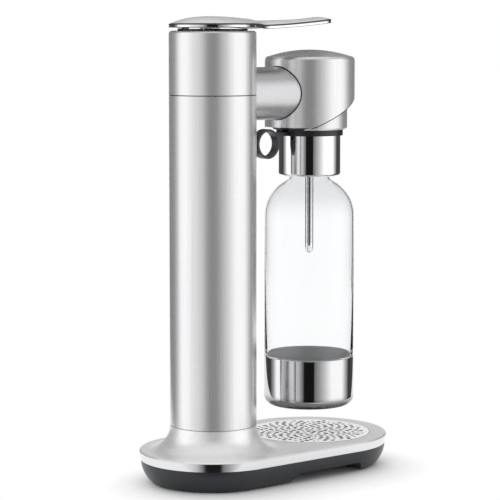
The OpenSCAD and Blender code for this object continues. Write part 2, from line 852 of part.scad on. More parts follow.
module lever_bracket() {
    plate_half = lug_gap / 2 + lug_w;
    color(inner_metal) difference() {
        union() {
            block([-plate_half, column_y - 9, hollow_z - bracket_t],
                  [plate_half, pivot_y + lug_r, hollow_z]);
            at_column() disc(plunger_r - 1, presser_low, hollow_z - overshoot);
            for (side = [-1, 1]) {
                low = side > 0 ? lug_gap / 2 : -plate_half;
                hinge_axis() rod_x(lug_r, low, low + lug_w);
                block([low, pivot_y - lug_r, pivot_z],
                      [low + lug_w, pivot_y + lug_r, hollow_z - overshoot]);
            }
        }
        hinge_axis() rod_x(hinge_pin_r + run_gap, -plate_half - overshoot, plate_half + overshoot);
        for (side = [-1, 1]) translate([side * bracket_screw_x, bracket_screw_y, 0])
            disc(screw_r, hollow_z - bracket_t - overshoot, hollow_z + overshoot);
    }
}

module bracket_screws() {
    head_t = 0.8;
    color(inner_metal) for (side = [-1, 1]) translate([side * bracket_screw_x, bracket_screw_y, 0]) {
        disc(screw_head_r - 0.5, hollow_z - bracket_t - head_t, hollow_z - bracket_t);
        disc(screw_r - seat_gap, hollow_z - bracket_t - head_t, hollow_z);
    }
}

// Gas valve

module plunger() {
    color(black_plastic) at_column() union() {
        disc(plunger_r, plunger_top - plunger_head_h, plunger_top);
        disc(stem_r, socket_top, plunger_top - overshoot);
        disc(nose_r, stem_low, socket_top + overshoot);
    }
}

module plunger_spring() {
    color(inner_metal) at_column()
        helix_spring(spring_r, spring_wire, spring_low, plunger_top - plunger_head_h, spring_turns);
}

module valve_block() {
    color(brass_tone) difference() {
        union() {
            at_column() disc(block_r, block_low, plate_low);
            at_column() disc(chassis_in_r - seat_gap, plate_low - block_flange_t, plate_low);
        }
        at_column() disc(stem_r + run_gap, block_low, plate_low + overshoot);
        at_column() disc(socket_r, block_low - overshoot, socket_top);
        translate([0, 0, pipe_z]) rod_y(pipe_r, column_y - block_r - overshoot, column_y - block_r + 6);
        translate([0, 0, pipe_z]) rod_y(pipe_bore_r, column_y - block_r, column_y);
        translate([0, 0, relief_z])
            rod_y(relief_r, column_y + block_r - relief_depth, column_y + block_r + overshoot);
    }
}

module relief_valve() {
    color(brass_tone) translate([0, 0, relief_z]) {
        rod_y(relief_r - seat_gap, column_y + block_r - relief_depth, column_y + block_r + 2);
        translate([0, column_y + block_r + 6, 0]) rotate([90, 0, 0])
            cylinder(r = relief_r + 2, h = relief_depth, $fn = 6);
    }
}

module socket_seal() {
    color(dark_rubber) at_column()
        pipe(socket_r - seat_gap, stem_r + 2, spigot_top + part_gap, socket_top - seal_lift);
}

module gas_cylinder() {
    neck_top = collar_low;
    inner_r = cylinder_r - cylinder_wall;
    inner_neck = neck_r - cylinder_wall;
    function end_angle(r, n) = acos(n / r);
    color(inner_metal) at_column() rotate_extrude()
        polygon(concat(
            [[0, cylinder_lift], [cylinder_r - 4, cylinder_lift], [cylinder_r, cylinder_lift + 4]],
            arc(0, shoulder_z, cylinder_r, 0, end_angle(cylinder_r, neck_r)),
            [[neck_r, neck_top], [inner_neck, neck_top]],
            arc(0, shoulder_z, inner_r, end_angle(inner_r, inner_neck), 0),
            [[inner_r, cylinder_lift + 2 * cylinder_wall], [0, cylinder_lift + 2 * cylinder_wall]]));
}

module cylinder_valve() {
    color(brass_tone) at_column() difference() {
        union() {
            translate([0, 0, collar_low]) cylinder(r = neck_r + 2, h = collar_h, $fn = 6);
            disc(spigot_r, collar_low + overshoot, spigot_top);
            disc(neck_r - cylinder_wall - seat_gap, collar_low - 8, collar_low + overshoot);
        }
        disc(poppet_r + run_gap, spigot_top - poppet_len - poppet_room, spigot_top + overshoot);
        disc(pipe_bore_r / 2, collar_low - 9, spigot_top);
    }
}

module valve_poppet() {
    color(inner_metal) at_column() disc(poppet_r, spigot_top - poppet_len, spigot_top);
}

module gas_pipe() {
    front = bottle_y + pivot_ring_in_r + 1;
    rear = column_y - block_r + 6;
    color(brass_tone) translate([0, 0, pipe_z]) difference() {
        rod_y(pipe_r, front, rear);
        rod_y(pipe_bore_r, front - overshoot, rear + overshoot);
    }
}

// Arm and head

module arm_tube() {
    color(satin_steel) difference() {
        translate([0, 0, arm_z]) rod_y(arm_r, bottle_y + head_in_r - 8, column_y);
        translate([0, 0, arm_z]) rod_y(arm_r - arm_wall, bottle_y, column_y + overshoot);
        at_column() disc(chassis_r + seat_gap, arm_z - 2 * arm_r, arm_z + 2 * arm_r);
        at_bottle() disc(pivot_ring_r + seat_gap, arm_z - 2 * arm_r, arm_z + 2 * arm_r);
    }
}

module arm_gasket() {
    color(dark_rubber) intersection() {
        translate([0, 0, arm_z]) difference() {
            rod_y(arm_r + gasket_w, bottle_y, column_y - column_r);
            rod_y(arm_r + seat_gap / 4, bottle_y - overshoot, column_y);
        }
        at_bottle() pipe(head_r + seat_gap, head_in_r, arm_z - 2 * arm_r, arm_z + 2 * arm_r);
    }
}

module head_profile(inset) {
    r = head_r - inset;
    top = head_shoulder + head_crown - inset;
    edge = head_shoulder - inset;
    round_r = max(head_round - inset, 1);
    dome_span = r - round_r;
    dome_ball = (dome_span * dome_span + head_crown * head_crown) / (2 * head_crown);
    dome_half = asin(dome_span / dome_ball);
    polygon(concat([[0, head_low - overshoot], [r, head_low - overshoot]],
        arc(r - round_r, edge - round_r, round_r, 0, 90 - dome_half),
        arc(0, top - dome_ball, dome_ball, 90 - dome_half, 90)));
}

module slanted_cut() {
    translate([0, bottle_y + cut_back, head_low]) rotate([-cut_angle, 0, 0])
        block([-2 * head_r, -4 * head_r, -4 * head_r], [2 * head_r, 0, 0]);
}

module head_shell() {
    color(satin_steel) difference() {
        at_bottle() rotate_extrude() head_profile(0);
        at_bottle() rotate_extrude() translate([0, -overshoot]) head_profile(head_wall);
        at_bottle() disc(2 * head_r, head_low - 2 * head_r, head_low);
        slanted_cut();
        translate([0, 0, arm_z]) rod_y(arm_r + gasket_w + seat_gap / 4, bottle_y, column_y);
    }
}

module tilt_axis() {
    translate([0, bottle_y, tilt_z]) children();
}

module pivot_ring() {
    color(black_plastic) difference() {
        union() {
            at_bottle() pipe(pivot_ring_r, pivot_ring_in_r, pivot_ring_low, pivot_ring_low + ring_h);
            intersection() {
                at_bottle() pipe(pivot_ring_r, pivot_ring_in_r, tilt_z - 2 * ring_boss_r, pivot_ring_low + 1);
                union() {
                    tilt_axis() rod_x(ring_boss_r, -head_r, head_r);
                    block([-head_r, bottle_y - ring_boss_r, tilt_z],
                          [head_r, bottle_y + ring_boss_r, pivot_ring_low + 1]);
                }
            }
        }
        tilt_axis() rod_x(tilt_pin_r, -head_r, head_r);
        translate([0, 0, pipe_z]) rod_y(pipe_r, bottle_y, column_y);
    }
}

module tilt_pins() {
    color(inner_metal) intersection() {
        tilt_axis() for (side = [0, 1]) mirror([side, 0, 0]) rod_x(tilt_pin_r, ear_in, head_r);
        at_bottle() disc(pivot_ring_r, tilt_z - ring_boss_r, tilt_z + ring_boss_r);
    }
}

// Tilting clip

module clip_barrel() {
    inner_r = clip_r - clip_wall;
    color(satin_steel) difference() {
        union() {
            at_bottle() rotate_extrude()
                polygon([[inner_r, clip_low], [clip_r - clip_chamfer, clip_low],
                         [clip_r, clip_low + clip_chamfer], [clip_r, clip_high - clip_chamfer],
                         [clip_r - clip_chamfer, clip_high], [0, clip_high],
                         [0, clip_high - clip_ceiling], [inner_r, clip_high - clip_ceiling]]);
            for (side = [-1, 1]) {
                low = side > 0 ? ear_in : -ear_out;
                tilt_axis() rod_x(ear_r, low, low + ear_span);
                block([low, bottle_y - ear_r, clip_high - overshoot],
                      [low + ear_span, bottle_y + ear_r, tilt_z]);
            }
        }
        tilt_axis() rod_x(tilt_pin_r + run_gap, -head_r, head_r);
        at_bottle() disc(nozzle_r, clip_low, clip_high + overshoot);
    }
}

module clip_liner() {
    top = clip_high - clip_ceiling;
    color(black_plastic) at_bottle() difference() {
        disc(liner_r, clip_low, top);
        disc(liner_in_r, clip_low - overshoot, plug_top + 2 * part_gap);
        disc(nozzle_r, clip_low, top + overshoot);
    }
}

module gas_nozzle() {
    color(brass_tone) at_bottle() difference() {
        union() {
            disc(hub_r, clip_high, tilt_z + 4);
            disc(nozzle_r, plug_top - nozzle_tip, tilt_z);
        }
        disc(nozzle_bore_r, plug_top - nozzle_tip - overshoot, tilt_z);
        translate([0, 0, tilt_z]) rod_x(pipe_bore_r, 0, hub_r + overshoot);
        translate([0, 0, tilt_z]) rod_x(clip_pipe_r, hub_r - 2, hub_r + overshoot);
        nozzle_groove();
    }
}

module nozzle_groove() {
    pipe(nozzle_r + overshoot, nozzle_r - seal_wire, seal_z - seal_wire, seal_z + seal_wire);
}

module nozzle_seal() {
    color(dark_rubber) at_bottle() rotate_extrude()
        translate([nozzle_r, seal_z]) circle(r = seal_wire);
}

module clip_pipe() {
    color(brass_tone) translate([0, bottle_y, tilt_z]) difference() {
        rod_x(clip_pipe_r, hub_r - 2, ear_in);
        rod_x(pipe_bore_r, hub_r - 3, ear_in + overshoot);
    }
}

// Cap, finger ring and wand

module cap_body() {
    slot_half = ring_w / 2 + part_gap;
    color(black_plastic) difference() {
        at_bottle() union() {
            disc(flange_r, flange_low, flange_top);
            disc(plug_r, flange_low, plug_top);
            pipe(sleeve_r, thread_r, skirt_low + 3, flange_low + overshoot);
            disc(sleeve_r, cap_ceiling, flange_low + overshoot);
        }
        at_bottle() disc(nozzle_well_r, plug_top - nozzle_tip - part_gap, plug_top + overshoot);
        at_bottle() disc(wand_r, cap_ceiling - overshoot, flange_low + 2);
        at_bottle() disc(wand_bore_r, cap_ceiling, plug_top);
        at_bottle() pipe(plug_r + overshoot, cap_seal_r - cap_wire,
                         cap_groove_z - cap_wire, cap_groove_z + cap_wire);
        block([-slot_half, ring_pin_y - ring_pin_r, ring_top - ring_neck_t - part_gap],
              [slot_half, bottle_y + flange_r + overshoot, flange_top + overshoot]);
        block([-slot_half, toe_y - 2 * part_gap, ring_top - ring_neck_t - toe_drop],
              [slot_half, ring_pin_y, flange_top + overshoot]);
        translate([0, ring_pin_y, ring_pin_z]) rod_x(ring_pin_r, -ring_pin_half, ring_pin_half);
        translate([0, vent_y, 0]) disc(vent_r + run_gap, cap_ceiling - overshoot, flange_top);
        translate([0, vent_y, 0]) disc(vent_spring_r + 1, vent_spring_low, vent_spring_high + 2);
    }
}

module cap_skirt() {
    inner = skirt_r - skirt_wall;
    lip_r = bottle_neck_r + 2.2;
    color(polished) at_bottle() rotate_extrude()
        polygon(concat([[lip_r, skirt_low + skirt_wall], [lip_r, skirt_low]],
            arc(skirt_r - skirt_round, skirt_low + skirt_round, skirt_round, -90, 0),
            [[skirt_r, flange_low], [inner, flange_low]],
            arc(skirt_r - skirt_round, skirt_low + skirt_round, skirt_round - skirt_wall, 0, -90)));
}

module cap_seal() {
    color(dark_rubber) at_bottle() rotate_extrude()
        translate([cap_seal_r, cap_groove_z]) circle(r = cap_wire);
}

module neck_gasket() {
    color(dark_rubber) at_bottle()
        pipe(finish_r, bottle_in_r, cap_ceiling - gasket_t, cap_ceiling);
}

module carbonating_wand() {
    color(polished) at_bottle() pipe(wand_r, wand_bore_r, wand_low + tip_len, flange_low + 2);
}

module wand_tip() {
    color(polished) at_bottle() difference() {
        union() {
            disc(wand_r, wand_low + 2, wand_low + tip_len);
            translate([0, 0, wand_low]) cylinder(r1 = wand_r - 1.2, r2 = wand_r, h = 2);
            disc(wand_bore_r - seat_gap, wand_low + tip_len - overshoot, wand_low + tip_len + 4);
        }
        disc(0.6, wand_low - overshoot, wand_low + tip_len + 5);
    }
}

module release_ring() {
    half = ring_w / 2;
    color(black_plastic) difference() {
        union() {
            translate([0, ring_y, ring_z]) rod_x(ring_out_r, -half, half);
            block([-half, toe_y, ring_top - ring_neck_t], [half, ring_y, ring_top]);
            ring_web(half);
        }
        translate([0, ring_y, ring_z]) rod_x(ring_hole_r, -half - overshoot, half + overshoot);
        translate([0, ring_pin_y, ring_pin_z])
            rod_x(ring_pin_r + run_gap, -half - overshoot, half + overshoot);
    }
}

// Curved web that fills the corner between the finger ring and its neck
module ring_web(half) {
    corner = ring_out_r * 0.8;
    front = ring_y - ring_out_r;
    difference() {
        block([-half, front - corner / 2, ring_top - corner], [half, ring_y, ring_top]);
        translate([0, front - corner / 2, ring_top - corner - ring_neck_t / 2])
            rod_x(corner * 0.85, -half - overshoot, half + overshoot);
    }
}

module ring_pin() {
    color(inner_metal) translate([0, ring_pin_y, ring_pin_z])
        rod_x(ring_pin_r, -ring_pin_half, ring_pin_half);
}

module vent_pin() {
    color(inner_metal) translate([0, vent_y, 0]) union() {
        disc(vent_r, cap_ceiling - 0.4, vent_top);
        disc(vent_spring_r + 0.6, vent_spring_high, vent_spring_high + 0.5);
    }
}

module vent_spring() {
    color(inner_metal) translate([0, vent_y, 0])
        helix_spring(vent_spring_r, vent_wire, vent_spring_low, vent_spring_high, vent_turns);
}

// Bottle

module bottle() {
    side_in = bottle_r - bottle_wall;
    foot_in = foot_side_r - bottle_wall;
    inner_round = foot_round - bottle_wall;
    step_z = cup_top + part_gap;
    color(clear_tone) at_bottle() rotate_extrude() polygon(concat(
        [[0, bottle_low]],
        arc(foot_side_r - foot_round, bottle_low + foot_round, foot_round, -90, 0),
        [[foot_side_r, step_z], [bottle_r, step_z + 1]],
        arc(dome_x, dome_z, dome_r, 0, dome_end),
        arc(fillet_x, neck_low, neck_fillet, 180 + dome_end, 180),
        [[bottle_neck_r, finish_low], [finish_r, finish_low + 1], [finish_r, lip_z],
         [bottle_in_r, lip_z]],
        arc(fillet_x, neck_low, neck_fillet + bottle_wall, 180, 180 + dome_end),
        arc(dome_x, dome_z, dome_r - bottle_wall, dome_end, 0),
        [[side_in, step_z + 2], [foot_in, step_z]],
        arc(foot_side_r - foot_round, bottle_low + foot_round, inner_round, 0, -90),
        [[0, bottle_low + bottle_wall]]));
}

module bottle_cup() {
    inner_r = cup_r - cup_wall;
    color(polished) at_bottle() rotate_extrude() polygon(concat(
        [[0, cup_low]],
        arc(cup_r - cup_round, cup_low + cup_round, cup_round, -90, 0),
        [[cup_r, cup_top], [inner_r, cup_top]],
        arc(cup_r - cup_round, cup_low + cup_round, cup_round - cup_wall, 0, -90),
        [[0, cup_low + cup_wall]]));
}

base_pan();
base_cover();
rubber_feet();
base_screws();
drip_well();
drip_grate();
chassis_tube();
column_tube();
seam_rings();
column_head();
top_plate();
hinge_pin();
lever_paddle();
lever_bracket();
bracket_screws();
plunger();
plunger_spring();
valve_block();
relief_valve();
socket_seal();
gas_cylinder();
cylinder_valve();
valve_poppet();
gas_pipe();
arm_tube();
arm_gasket();
head_shell();
pivot_ring();
tilt_pins();
clip_barrel();
clip_liner();
gas_nozzle();
nozzle_seal();
clip_pipe();
cap_body();
cap_skirt();
cap_seal();
neck_gasket();
carbonating_wand();
wand_tip();
release_ring();
ring_pin();
vent_pin();
vent_spring();
bottle();
bottle_cup();
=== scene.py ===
import math

import bpy
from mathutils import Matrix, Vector


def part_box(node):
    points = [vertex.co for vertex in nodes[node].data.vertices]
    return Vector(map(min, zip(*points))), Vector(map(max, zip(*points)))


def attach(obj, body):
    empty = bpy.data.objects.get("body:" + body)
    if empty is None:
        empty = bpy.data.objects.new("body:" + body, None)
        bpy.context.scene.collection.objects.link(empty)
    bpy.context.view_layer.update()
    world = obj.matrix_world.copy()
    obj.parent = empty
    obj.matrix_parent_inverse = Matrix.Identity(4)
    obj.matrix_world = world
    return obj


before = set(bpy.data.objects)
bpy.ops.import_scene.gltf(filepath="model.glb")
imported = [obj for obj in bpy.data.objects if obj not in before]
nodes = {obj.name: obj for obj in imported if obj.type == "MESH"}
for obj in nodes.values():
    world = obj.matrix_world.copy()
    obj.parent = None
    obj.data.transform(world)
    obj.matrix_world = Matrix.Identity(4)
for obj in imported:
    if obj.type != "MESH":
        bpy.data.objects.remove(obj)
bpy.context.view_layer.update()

scene = bpy.context.scene
scene.view_settings.view_transform = "Standard"

# Camera, from the fit to the photograph. All lengths are in metres.
CAM_AZIMUTH = math.radians(227.427)
CAM_DISTANCE = 1.8277
CAM_SIDE = 0.0331
CAM_HEIGHT = 0.401
CAM_TILT = math.radians(5.998)
CAM_LENS = 147.81

# Places on the part
COLUMN_Y = 0.063
BOTTLE_Y = -0.057
CUT_Y = -0.030
CUT_SLOPE = math.tan(math.radians(26.7))
HEAD_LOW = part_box("head_shell")[0][2]
HEAD_INNER_R = 0.0406
SKIRT_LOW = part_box("cap_skirt")[0][2]
SHOULDER_FROM, SHOULDER_TO = SKIRT_LOW - 0.042, SKIRT_LOW - 0.014
CUP_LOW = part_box("bottle_cup")[0][2]
# The cup's foot is painted darker between these heights, as a painted reflection.
FOOT_FROM, FOOT_TO = CUP_LOW + 0.005, CUP_LOW + 0.012
CUP_INNER_R = 0.0416
CUP_FLOOR = 0.0562
CUP_TOP = 0.1
BAND_TOP = 0.0279
BETWEEN_SEAMS = 0.2

# The painted shadow line under the head's lower edge: its middle, and half its height
SHADOW_LINE_MIDDLE, SHADOW_LINE_HALF = 0.0004, 0.0007

# The lever's lower edge: its height, the dip in front of the column, and the blade that rises after it
LEVER_LOW = 0.407
DIP_START, DIP_END, DIP_DEPTH = 0.038, 0.054, 0.0012
BLADE_START, BLADE_RUN, BLADE_RISE, BLADE_POWER = 0.048, 0.094, 0.0064, 1.5
# The lines of painted shade, over that edge and along it
LINE_MIDDLE, LINE_HALF, LOW_LINE = 0.003, 0.0007, 0.0004

SMOOTH_ANGLE = math.radians(32)
X, Y, Z = (1, 0, 0), (0, 1, 0), (0, 0, 1)

back = Vector((math.sin(CAM_AZIMUTH), -math.cos(CAM_AZIMUTH), 0.0))
right = Vector((-back.y, back.x, 0.0))


def make_camera():
    data = bpy.data.cameras.new("camera")
    data.lens = CAM_LENS
    data.sensor_width = 36.0
    data.clip_end = 50.0
    data.dof.use_dof = False
    cam = bpy.data.objects.new("camera", data)
    scene.collection.objects.link(cam)
    cam.location = Vector((0, COLUMN_Y, 0)) + back * CAM_DISTANCE + right * CAM_SIDE
    cam.location.z = CAM_HEIGHT
    look = -back * math.cos(CAM_TILT) - Vector((0, 0, math.sin(CAM_TILT)))
    cam.rotation_euler = look.to_track_quat("-Z", "Y").to_euler()
    scene.camera = cam


class Tree:
    """Short calls for the nodes that the materials use."""

    def __init__(self, tree):
        self.tree = tree
        self.tree.nodes.clear()

    def add(self, kind, **props):
        node = self.tree.nodes.new(kind)
        for key, value in props.items():
            setattr(node, key, value)
        return node

    def link(self, out, into):
        self.tree.links.new(out, into)

    def math(self, op, a, b=None, c=None):
        node = self.add("ShaderNodeMath", operation=op)
        for slot, value in enumerate((a, b, c)):
            if value is None:
                continue
            if isinstance(value, (int, float)):
                node.inputs[slot].default_value = value
            else:
                self.link(value, node.inputs[slot])
        return node.outputs[0]

    def length(self, a, b):
        """The length of a flat vector."""
        return self.math("SQRT", self.math("ADD", self.math("MULTIPLY", a, a), self.math("MULTIPLY", b, b)))

    def ramp(self, fac, stops):
        node = self.add("ShaderNodeValToRGB")
        elements = node.color_ramp.elements
        while len(elements) < len(stops):
            elements.new(0.5)
        for element, (place, value) in zip(elements, stops):
            element.position = place
            element.color = (value, value, value, 1) if isinstance(value, (int, float)) else (*value, 1)
        self.link(fac, node.inputs[0])
        return node.outputs[0]

    def noise(self, vector, detail=2.0):
        node = self.add("ShaderNodeTexNoise")
        node.inputs["Scale"].default_value = 1.0
        node.inputs["Detail"].default_value = detail
        node.inputs["Roughness"].default_value = 0.5
        self.link(vector, node.inputs["Vector"])
        return node.outputs["Fac"]

    def coord(self):
        return self.add("ShaderNodeTexCoord").outputs["Object"]

    def normal(self):
        return self.add("ShaderNodeNewGeometry").outputs["Normal"]

    def stretched(self, scale):
        mapping = self.add("ShaderNodeMapping")
        mapping.inputs["Scale"].default_value = scale
        self.link(self.coord(), mapping.inputs["Vector"])
        return mapping.outputs["Vector"]

    def along(self, vector, axis):
        node = self.add("ShaderNodeVectorMath", operation="DOT_PRODUCT")
        node.inputs[1].default_value = axis
        self.link(vector, node.inputs[0])
        return node.outputs["Value"]

    def blend(self, fac, a, b):
        """The colour a, with the plain colour b where the factor is 1."""
        node = self.add("ShaderNodeMix", data_type="RGBA")
        self.link(fac, node.inputs["Factor"])
        self.link(a, node.inputs[6])
        node.inputs[7].default_value = (*b, 1)
        return node.outputs[2]

    def span(self, value, start, end):
        """A value from 0 to 1, brought to the span from start to end."""
        node = self.add("ShaderNodeMapRange")
        node.inputs["To Min"].default_value = start
        node.inputs["To Max"].default_value = end
        self.link(value, node.inputs["Value"])
        return node.outputs[0]

    def step(self, value, low, high, start=0.0, end=1.0):
        """A smooth step from start, at low, to end, at high."""
        node = self.add("ShaderNodeMapRange", interpolation_type="SMOOTHSTEP")
        for slot, number in (("From Min", low), ("From Max", high), ("To Min", start), ("To Max", end)):
            node.inputs[slot].default_value = number
        self.link(value, node.inputs["Value"])
        return node.outputs[0]

    def mix(self, fac, a, b):
        """The shader a, with the shader b where the factor is 1."""
        node = self.add("ShaderNodeMixShader")
        self.link(fac, node.inputs[0])
        self.link(a.outputs[0], node.inputs[1])
        self.link(b.outputs[0], node.inputs[2])
        return node

    def surface(self, shader):
        self.link(shader.outputs[0], self.add("ShaderNodeOutputMaterial").inputs["Surface"])


def new_material(name):
    mat = bpy.data.materials.new(name)
    mat.use_nodes = True
    return mat, Tree(mat.node_tree)


def varied(name, low, high, grain, rough, metallic=0.0, bump=0.0, masks=()):
    """A material whose colour, roughness and small bumps follow a stretched noise.

    Each mask is a function of the tree that gives a factor, and the colour, roughness and metal where it is 1.
    """
    mat, tree = new_material(name)
    shader = tree.add("ShaderNodeBsdfPrincipled")
    noise = tree.noise(tree.stretched(grain), 3.0)
    colour = tree.ramp(noise, [(0.3, low), (0.7, high)])
    gloss = tree.span(noise, *rough)
    metal = metallic
    for make, other, other_rough, other_metal in masks:
        fac = make(tree)
        colour = tree.blend(fac, colour, other)
        gloss = tree.math("MULTIPLY_ADD", fac, tree.math("SUBTRACT", other_rough, gloss), gloss)
        metal = tree.math("MULTIPLY_ADD", fac, tree.math("SUBTRACT", other_metal, metal), metal)
    tree.link(colour, shader.inputs["Base Color"])
    tree.link(gloss, shader.inputs["Roughness"])
    if masks:
        tree.link(metal, shader.inputs["Metallic"])
    else:
        shader.inputs["Metallic"].default_value = metallic
    if bump:
        node = tree.add("ShaderNodeBump")
        node.inputs["Strength"].default_value = bump
        node.inputs["Distance"].default_value = 0.0002
        tree.link(noise, node.inputs["Height"])
        tree.link(node.outputs[0], shader.inputs["Normal"])
    tree.surface(shader)
    return mat


# Masks, which tell the places on a piece apart

def from_bottle(tree, place):
    """The flat place relative to the bottle's axis."""
    return tree.along(place, X), tree.math("SUBTRACT", tree.along(place, Y), BOTTLE_Y)


def up_part(tree):
    """How far a surface faces up, from -1 to 1."""
    return tree.along(tree.normal(), Z)


def head_inside_shade(tree):
    """1 on the inner side of the head shell, which is dull and painted near-black as shade in the hollow."""
    near = tree.math("LESS_THAN", tree.length(*from_bottle(tree, tree.coord())), HEAD_INNER_R)
    return tree.math("MULTIPLY", near, tree.math("LESS_THAN", up_part(tree), 0.2))


def inside_cup(tree):
    """1 on the inner side of the bottle's cup, which is left dull."""
    place, face = tree.coord(), tree.normal()
    x, y = from_bottle(tree, place)
    near = tree.math("LESS_THAN", tree.length(x, y), CUP_INNER_R)
    high = tree.math("GREATER_THAN", tree.along(place, Z), CUP_FLOOR)
    outward = tree.math("ADD", tree.math("MULTIPLY", x, tree.along(face, X)),
                        tree.math("MULTIPLY", y, tree.along(face, Y)))
    inner = tree.math("LESS_THAN", outward, 0.001)
    return tree.math("MULTIPLY", inner, tree.math("MULTIPLY", near, high))


def foot_painted_reflection(tree):
    """1 on the rounded foot of the bottle's cup, which is painted darker as a painted reflection of the darker
    ground below it.
    """
    return tree.step(tree.along(tree.coord(), Z), FOOT_FROM, FOOT_TO, 1.0, 0.0)


def barrel_painted_shadow(tree):
    """1 on the clip barrel along the head's lower edge, and under the head's rear half: painted shadow where
    the head shades the barrel.
    """
    place = tree.coord()
    ahead = tree.math("MAXIMUM", tree.math("SUBTRACT", CUT_Y, tree.along(place, Y)), 0.0)
    edge = tree.math("MULTIPLY_ADD", ahead, CUT_SLOPE, HEAD_LOW)
    below = tree.math("SUBTRACT", edge, tree.along(place, Z))
    line = tree.math("COMPARE", below, SHADOW_LINE_MIDDLE, SHADOW_LINE_HALF)
    rear = tree.math("LESS_THAN", ahead, 0.0001)
    return tree.math("MAXIMUM", line, tree.math("MULTIPLY", rear, tree.math("GREATER_THAN", below, 0.0)))


def hole_walls_shade(tree):
    """1 on the upright walls of the grate's holes, which are painted dark as shade."""
    return tree.math("LESS_THAN", tree.math("ABSOLUTE", up_part(tree)), 0.5)


def low_seam(tree):
    """1 on the seam over the flare, which shows as a fine grey line."""
    return tree.math("LESS_THAN", tree.along(tree.coord(), Z), BETWEEN_SEAMS)


def lever_rim(tree):
    """1 on the lever's upright edge, which is polished."""
    return tree.math("LESS_THAN", tree.math("ABSOLUTE", up_part(tree)), 0.3)


def lever_shade_lines(tree):
    """1 on the lever's underside, which is painted near-black as shade, and on thin lines of painted shade
    along and over its edge.
    """
    place = tree.coord()
    ahead = tree.math("SUBTRACT", COLUMN_Y, tree.along(place, Y))
    dip = tree.step(ahead, DIP_START, DIP_END)
    run = tree.math("MULTIPLY_ADD", ahead, 1 / BLADE_RUN, -BLADE_START / BLADE_RUN)
    rise = tree.math("POWER", tree.math("MAXIMUM", run, 0.0), BLADE_POWER)
    low = tree.math("MULTIPLY_ADD", dip, -DIP_DEPTH, tree.math("MULTIPLY", rise, BLADE_RISE))
    height = tree.math("SUBTRACT", tree.math("SUBTRACT", tree.along(place, Z), LEVER_LOW), low)
    up = up_part(tree)
    line = tree.math("COMPARE", height, LINE_MIDDLE, LINE_HALF)
    line = tree.math("MAXIMUM", line, tree.math("LESS_THAN", height, LOW_LINE))
    line = tree.math("MULTIPLY", line, tree.math("LESS_THAN", up, 0.95))
    return tree.math("MAXIMUM", line, tree.math("LESS_THAN", up, -0.5))


def rim_band(tree):
    """1 on the polished band round the deck."""
    return tree.math("LESS_THAN", tree.along(tree.coord(), Z), BAND_TOP)


def thick_shoulder(tree):
    """Rises to 1 over the bottle's shoulder, where its plastic is thicker."""
    return tree.step(tree.along(tree.coord(), Z), SHOULDER_FROM, SHOULDER_TO)


# Materials

def clear_plastic():
    """The bottle's plastic, which lets light by and doesn't bend the view inside the cup."""
    mat, tree = new_material("clear_plastic")
    shader = tree.add("ShaderNodeBsdfPrincipled")
    thin = tree.ramp(tree.noise(tree.stretched((40, 40, 40))),
                     [(0.2, (0.975, 0.985, 0.988)), (0.8, (0.99, 0.996, 1.0))])
    tree.link(tree.blend(thick_shoulder(tree), thin, (0.88, 0.885, 0.89)), shader.inputs["Base Color"])
    shader.inputs["Roughness"].default_value = 0.0
    shader.inputs["IOR"].default_value = 1.14
    shader.inputs["Transmission Weight"].default_value = 1.0
    in_cup = tree.math("LESS_THAN", tree.along(tree.coord(), Z), CUP_TOP)
    shadow = tree.add("ShaderNodeLightPath").outputs["Is Shadow Ray"]
    clear = tree.add("ShaderNodeBsdfTransparent")
    tree.surface(tree.mix(tree.math("MAXIMUM", in_cup, shadow), shader, clear))
    return mat


